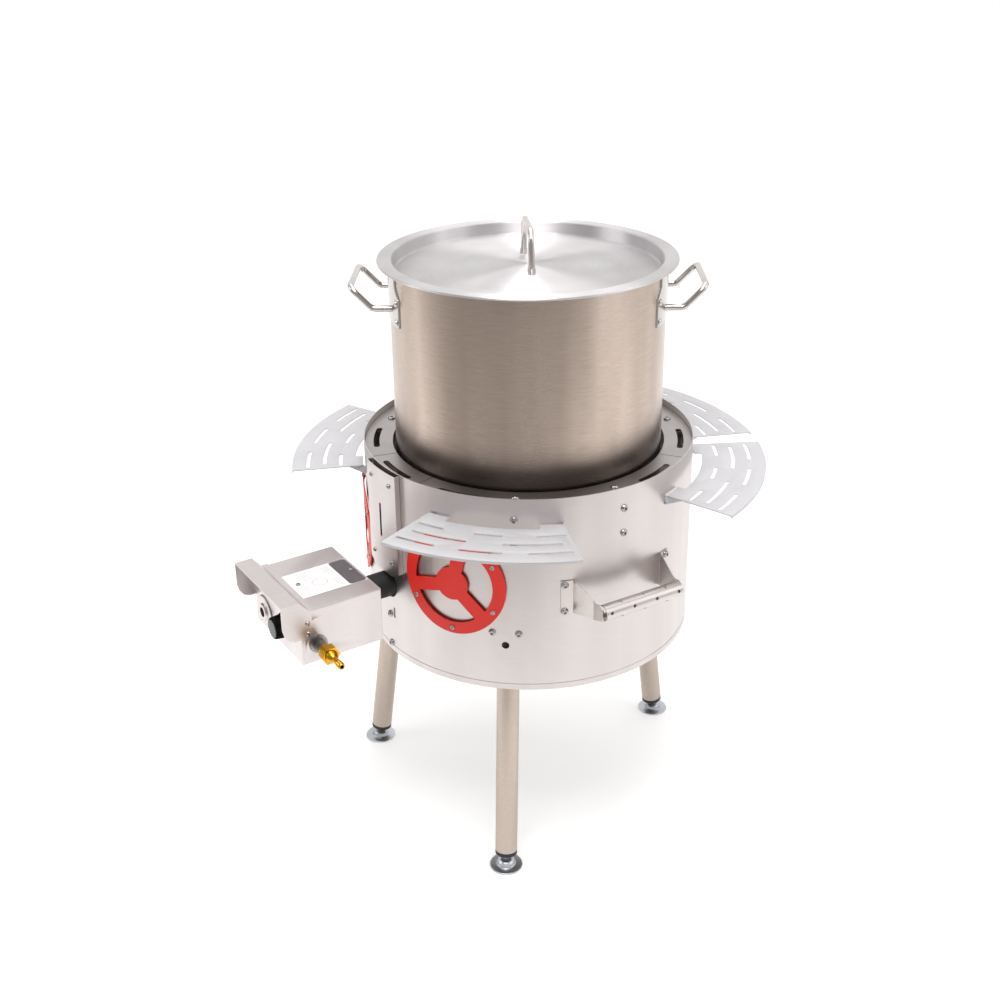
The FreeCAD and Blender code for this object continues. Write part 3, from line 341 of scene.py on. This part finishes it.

# ------------------------------------------------------------------- burner drum and ring
# The drum is one sheet of cold-rolled stainless, rolled round and hemmed at the bottom. The
# ring on it is four flat cut plates. The mill's finish leaves faint lines along the sheet.

# Cold-rolled stainless is a pale satin with faint lines. The flat ring is given a darker tone than the
# drum as painted shade beside the pot, and zinc on the screws is bluer and brighter at its edges.
drum_steel = metal_finish("cold_rolled_drum_steel", "#cdc7c6", "#c4bdbb", (0.3, 0.4), 0.6)
ring_steel = metal_finish("cold_rolled_ring_steel", "#b3afad", "#a6a19f", (0.3, 0.42), 0.8, (0.05, 1, 1))
screw_zinc = metal_finish("bright_zinc_plate", "#bdbab8", "#98959a", (0.2, 0.34), 1.2, (1, 1, 1))
dress(drum_steel, "drum_shell")
dress(ring_steel, "ring_plate_1", "ring_plate_2", "ring_plate_3", "ring_hatch", "burner_holder",
      "pot_rest_1", "pot_rest_2", "pot_rest_3", "pot_rest_4", "pot_rest_5", "pot_rest_6",
      "leg_socket_1", "leg_socket_2", "leg_socket_3")
dress(screw_zinc, "ring_bolts", "drum_screws", "panel_screws")

# --------------------------------------------------------------------------- legs and feet
# Welded stainless tube with its lengthwise grind left on, closed by a moulded black plug. A
# zinc-plated disc foot with a domed hub screws into the plug on a threaded stem.

# The grind along the tube gives a beige, upright streak. Zinc plate is cool, soft and mottled.
leg_steel = metal_finish("ground_leg_tube_steel", "#c2b4aa", "#ab9e93", (0.3, 0.42), 0.7, (1, 1, 0.02))
foot_zinc = metal_finish("foot_zinc_plate", "#cfd1d5", "#a4a8ae", (0.3, 0.42), 1.4, (1, 1, 1))


def matt_moulding(name, light, dark, rough, grain, relief):
    """A moulded, sprayed or printed skin: even colour over pebbles a grain apart, in mm."""
    finish = bpy.data.materials.new(name)
    finish.use_nodes = True
    tree = finish.node_tree
    shader = tree.nodes["Principled BSDF"]
    place = add_node(tree, "ShaderNodeTexCoord").outputs["Object"]
    pebbles = add_node(tree, "ShaderNodeTexNoise", {"Vector": place, "Scale": 1 / (grain * MM),
                                                    "Detail": 2.0}).outputs["Fac"]
    cloud = add_node(tree, "ShaderNodeTexNoise", {"Vector": place, "Scale": 14.0}).outputs["Fac"]
    shade = add_node(tree, "ShaderNodeMix", {"Factor": cloud, 6: linear(dark), 7: linear(light)},
                     data_type="RGBA")
    gloss = add_node(tree, "ShaderNodeMapRange", {"Value": pebbles, "To Min": rough[0],
                                                  "To Max": rough[1]})
    bump = add_node(tree, "ShaderNodeBump", {"Height": pebbles, "Strength": 0.4,
                                             "Distance": relief * MM})
    tree.links.new(shade.outputs[2], shader.inputs["Base Color"])
    tree.links.new(gloss.outputs["Result"], shader.inputs["Roughness"])
    tree.links.new(bump.outputs["Normal"], shader.inputs["Normal"])
    return finish


def move_into_place(piece, matrix):
    """Bring a piece made at the origin to its place, and put that place into its mesh."""
    piece.matrix_world = matrix
    bpy.ops.object.select_all(action="DESELECT")
    piece.select_set(True)
    bpy.context.view_layer.objects.active = piece
    bpy.ops.object.transform_apply(location=True, rotation=True, scale=True)


def join(name, *pieces):
    """Make several meshes one piece."""
    bpy.ops.object.select_all(action="DESELECT")
    for piece in pieces:
        piece.select_set(True)
    bpy.context.view_layer.objects.active = pieces[0]
    bpy.ops.object.join()
    bpy.context.object.name = name
    return bpy.context.object


def hexagon_nut(name, corner_radius, low, high, chamfer):
    """A six-sided nut on Z with both faces chamfered, in millimetres."""
    bpy.ops.object.select_all(action="DESELECT")
    bpy.ops.mesh.primitive_cylinder_add(vertices=6, radius=corner_radius * MM,
                                        depth=(high - low - 2 * chamfer) * MM,
                                        location=(0, 0, (low + high) / 2 * MM))
    nut = bpy.context.object
    nut.name = name
    bpy.ops.object.transform_apply(location=True, rotation=True, scale=True)
    for face in nut.data.polygons:
        face.select = abs(face.normal.z) > 0.9
    bpy.ops.object.mode_set(mode="EDIT")
    bpy.ops.mesh.select_mode(type="FACE")
    bpy.ops.mesh.inset(thickness=2 * chamfer * MM, depth=chamfer * MM)
    bpy.ops.object.mode_set(mode="OBJECT")
    rim = nut.modifiers.new("soft_edges", "BEVEL")
    rim.width = 0.25 * MM
    rim.segments = 2
    rim.limit_method = "ANGLE"
    bpy.ops.object.modifier_apply(modifier=rim.name)
    bpy.ops.object.shade_smooth_by_angle(angle=math.radians(20))
    return nut


# Moulded nylon is black and dull, with a spark-eroded pebble that softens its highlights.
black_plug = matt_moulding("black_nylon_moulding", "#1d1d1e", "#131314", (0.42, 0.6), 0.7, 0.02)
dress(leg_steel, "leg_tube_1", "leg_tube_2", "leg_tube_3")
dress(black_plug, "leg_cap_1", "leg_cap_2", "leg_cap_3")
# Thread ridges, closed rings in place of a helix, at the pitch of a coarse 8 mm screw.
THREAD_PITCH = 1.25
thread_rings = [(3.4, 7), (3.4, 10)]
for turn in range(26):
    start = 10 + THREAD_PITCH * turn
    thread_rings += [(4.0, start + 0.5), (4.0, start + 0.75), (3.4, start + THREAD_PITCH)]
thread_rings += [(2.6, 43)]
FOOT_REACH = 0.266
LEG_LEAN = math.radians(7.5)
for number, bearing in ((1, 48.4), (2, -48.4), (3, 180)):
    disc = turned("disc", [(2, 0), (23.6, 0), *corner(23.8, 1.2, 1.2, -90, 80, 4), (22.4, 2.6),
                           (15.6, 2.7), *corner(15.2, 5.0, 2.2, -95, -170, 3), (12.4, 8.2), (10.4, 10.4),
                           (7.6, 11.7), (4.6, 12), (1, 12)], 64)
    stem = turned("stem", thread_rings, 24)
    nut = hexagon_nut("nut", 7.5, 15, 21, 0.7)
    lean = Matrix.Rotation(-LEG_LEAN, 4, "X")
    about = Matrix.Rotation(math.radians(bearing), 4, "Z")
    spot = about @ Matrix.Translation((0, -FOOT_REACH, 0))
    move_into_place(disc, spot)
    move_into_place(stem, spot @ lean)
    move_into_place(nut, spot @ lean)
    fit(join(f"levelling_foot_{number}", disc, stem, nut), foot_zinc, "zinc", f"foot_{number}",
        f"foot_{number}")

# --------------------------------------------------------------------------------- shelves
# Laser-cut stainless plates with slots in staggered rows, blasted to an even matt grey. Each
# hangs on two folded lugs that hook through the drum wall.


def softened(name, width, finish, slot, body, angle=35):
    """A copy of a CAD sheet part with its flat faces made whole and its cut edges broken."""
    piece = frame["nodes"][name].copy()
    piece.data = frame["nodes"][name].data.copy()
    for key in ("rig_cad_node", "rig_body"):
        del piece[key]
    bpy.context.scene.collection.objects.link(piece)
    piece.name = "sheet_" + name
    piece.parent = None
    bpy.ops.object.select_all(action="DESELECT")
    piece.select_set(True)
    bpy.context.view_layer.objects.active = piece
    bpy.ops.object.mode_set(mode="EDIT")
    bpy.ops.mesh.select_all(action="SELECT")
    bpy.ops.mesh.remove_doubles(threshold=0.01 * MM)
    bpy.ops.mesh.dissolve_limited(angle_limit=math.radians(0.8))
    bpy.ops.object.mode_set(mode="OBJECT")
    edge = piece.modifiers.new("broken_edges", "BEVEL")
    edge.width = width * MM
    edge.segments = 2
    edge.limit_method = "ANGLE"
    edge.angle_limit = math.radians(angle)
    edge.use_clamp_overlap = False
    bpy.ops.object.modifier_apply(modifier=edge.name)
    bpy.ops.object.shade_smooth_by_angle(angle=math.radians(30))
    fit(piece, finish, slot, body, name)
    return piece


# Blasted stainless scatters light from a fine matt skin, so it hardly mirrors anything.
shelf_steel = metal_finish("blasted_shelf_steel", "#cbcacd", "#bebdc0", (0.42, 0.52), 0.8, (1, 1, 1),
                           relief=0.02, metal=0.2)
for number in range(1, 6):
    softened(f"shelf_{number}", 0.25, shelf_steel, "shelf_steel", f"shelf_{number}")

# ------------------------------------------------------------- round guards and port cover
# Cut steel discs, curved to the drum and powder coated red, with a plain hub and spokes. The
# port cover beside them is bare sheet.

# Powder coat is a saturated red with a slight orange-peel and a soft, broad highlight.
red_powder = matt_moulding("red_powder_coat", "#ee2413", "#e01e10", (0.4, 0.52), 1.4, 0.02)
dress(red_powder, "round_guard_1", "round_guard_2")
dress(drum_steel, "port_cover")

# --------------------------------------------------------------------------- carry handles
# Folded sheet brackets and a rolled sheet grip with round holes, all from the drum's steel.

# The drum's sheet, with its rolling lines turned to run along the brackets' faces.
fold_steel = metal_finish("folded_sheet_steel", "#cfc8c4", "#c2bab6", (0.28, 0.38), 0.7, (1, 0.05, 1))
for number in (1, 2):
    dress(fold_steel, f"carry_bracket_{number}a", f"carry_bracket_{number}b", f"carry_grip_{number}")

# ------------------------------------------------------------------------------ burner box
# A folded stainless tray with a flat cover, a raised hood over the knob, and a printed plate.
# The grind runs along the box.

# Ground stainless: pinkish silver, its fine grind running from the drum out to the knob.
box_steel = metal_finish("ground_box_steel", "#d2cbca", "#c5bebc", (0.28, 0.38), 0.7, (1, 0.03, 1))
softened("burner_box", 0.5, box_steel, "drum_steel", "stand")
softened("box_cover", 0.35, box_steel, "drum_steel", "stand")
dress(box_steel, "knob_hood", "air_inlet")

# Screen print on plastic film: flat, even inks under a low sheen.
LABEL_TOP = 458.36
PRINT_DEPTH = 0.03
label_white = matt_moulding("white_printed_plate", "#f2f1f0", "#eceaea", (0.3, 0.4), 2.0, 0.005)
label_dark = matt_moulding("dark_grey_print", "#5b5457", "#534c50", (0.35, 0.45), 2.0, 0.005)
label_grey = matt_moulding("light_grey_print", "#a9a5a6", "#9f9b9c", (0.35, 0.45), 2.0, 0.005)
label_red = matt_moulding("red_print", "#d4505a", "#cc4852", (0.35, 0.45), 2.0, 0.005)
dress(label_white, "label_plate")


def print_patch(name, centre_x, reach, width, depth):
    """A thin printed patch on the label plate, its corners slightly rounded, in millimetres."""
    bpy.ops.object.select_all(action="DESELECT")
    bpy.ops.mesh.primitive_plane_add(size=1, location=(centre_x * MM, -reach * MM, LABEL_TOP * MM))
    patch = bpy.context.object
    patch.name = name
    patch.scale = (width * MM, depth * MM, 1)
    bpy.ops.object.transform_apply(location=True, rotation=True, scale=True)
    bpy.ops.object.mode_set(mode="EDIT")
    bpy.ops.mesh.select_all(action="SELECT")
    bpy.ops.mesh.bevel(offset=min(width, depth) * 0.15 * MM, segments=2, affect="VERTICES")
    bpy.ops.mesh.select_all(action="SELECT")
    bpy.ops.mesh.extrude_region_move(TRANSFORM_OT_translate={"value": (0, 0, PRINT_DEPTH * MM)})
    bpy.ops.mesh.select_all(action="SELECT")
    bpy.ops.mesh.normals_make_consistent(inside=False)
    bpy.ops.object.mode_set(mode="OBJECT")
    return patch


fit(print_patch("label_band", 6, 318.4, 73.4, 26.4), label_dark, "label", "stand")
rules = [print_patch("rule", centre_x, reach, width, 0.7)
         for centre_x, reach, width in ((-14, 338, 22), (-13, 342, 24), (-15, 346, 20), (24, 340, 26),
                                        (22, 344, 22), (-12, 372, 26), (-14, 376, 22), (-12, 380, 26),
                                        (-16, 384, 18), (26, 386, 22), (25, 390, 24))]
fit(join("label_rules", *rules), label_grey, "label", "stand")
print_top = LABEL_TOP + PRINT_DEPTH
ring_print = turned("label_ring", [(10.2, LABEL_TOP), (10.9, LABEL_TOP), (10.9, print_top),
                                   (10.2, print_top), (10.2, LABEL_TOP)], 48)
move_into_place(ring_print, Matrix.Translation((12 * MM, -364 * MM, 0)))
fit(ring_print, label_red, "label", "stand")

# ---------------------------------------------------------- gas knob, hose tail and burner
# A moulded black knob with grip flutes and a grey face cap, a machined brass hose tail, and the
# black-painted mixing tube that feeds a cast burner.

# Moulded plastics are dull and finely pebbled. Machined brass is a bright warm yellow. Stove
# paint is a flat black, and sand-cast iron dark and grainy.
knob_black = matt_moulding("black_knob_moulding", "#1a1a1b", "#101011", (0.35, 0.5), 0.6, 0.02)
cap_grey = matt_moulding("grey_cap_moulding", "#6c6e70", "#5f6163", (0.4, 0.52), 0.6, 0.02)
brass = metal_finish("machined_brass", "#e6b23c", "#c98f22", (0.16, 0.28), 1.0, (1, 1, 1))
burner_paint = matt_moulding("black_stove_paint", "#1b1a1a", "#0f0f0f", (0.5, 0.68), 1.2, 0.06)
cast_iron = metal_finish("sand_cast_iron", "#4b4846", "#343230", (0.55, 0.75), 1.6, (1, 1, 1), relief=0.2)

knob = turned("fluted_knob", [(3.6, 17), (3.6, 7), (11, 7), (11, 0.2), (17.6, 0), (18.3, 0.7), (18.3, 4.0),
                              (17.4, 5.0), (16.9, 5.6), (15.8, 18.8), (15.1, 20.4), (13.6, 21.4),
                              (13.05, 21.2), (13.05, 17), (3.6, 17)], 72)
for face in knob.data.polygons:
    column = round(math.degrees(math.atan2(face.center.y, face.center.x)) / 5 - 0.5)
    face.select = (column % 3 == 0 and 10 * MM < face.center.z < 15 * MM
                   and face.center.xy.length > 14 * MM)
bpy.ops.object.mode_set(mode="EDIT")
bpy.ops.mesh.select_mode(type="FACE")
bpy.ops.mesh.extrude_faces_move(TRANSFORM_OT_shrink_fatten={"value": -0.8 * MM})
bpy.ops.object.mode_set(mode="OBJECT")
cap = turned("knob_face", [(2, 19.8), (12.6, 19.8), (12.8, 20), (12.8, 21.2), (12.2, 21.8), (8, 22.1),
                           (1, 22.2)], 64)
knob_seat = Matrix.Translation((0.037, -0.4306, 0.423)) @ Matrix.Rotation(math.pi / 2, 4, "X")
move_into_place(knob, knob_seat)
move_into_place(cap, knob_seat)
fit(knob, knob_black, "black_plastic", "control_knob", "control_knob")
fit(cap, cap_grey, "grey_plastic", "control_knob", "knob_cap")

tail = turned("tail", [(2.8, 0), (9, 0), (9.5, 0.5), (9.5, 7.3), (9.1, 7.7), (9.1, 20.7), (9.5, 21.1),
                       (9.3, 22.2), (5.8, 29), (5.0, 29.8), (4.5, 30.4), (4.5, 42.6), (5.3, 42.9),
                       (5.3, 43.2), (4.6, 46.6), (4.5, 47.6), (5.3, 47.9), (5.3, 48.2), (4.5, 51.8),
                       (4.0, 52.6), (3.2, 52.7), (2.8, 52.3), (2.8, 0)], 48)
tail_hexagon = hexagon_nut("tail_hexagon", 12.7, 7.7, 20.7, 0.9)
tail_seat = Matrix.Translation((0.0963, -0.402, 0.403)) @ Matrix.Rotation(math.pi / 2, 4, "Y")
for piece in (tail, tail_hexagon):
    move_into_place(piece, tail_seat)
fit(join("brass_hose_tail", tail, tail_hexagon), brass, "brass", "stand", "hose_barb")
# Turned steel left bare is a dark, soft-edged grey.
adapter_steel = metal_finish("turned_adapter_steel", "#9c9792", "#7f7a76", (0.25, 0.38), 0.6, (1, 1, 1))
dress(adapter_steel, "gas_adapter")
dress(brass, "gas_valve", "valve_spindle")
dress(burner_paint, "burner_tube")
dress(cast_iron, "burner_head")
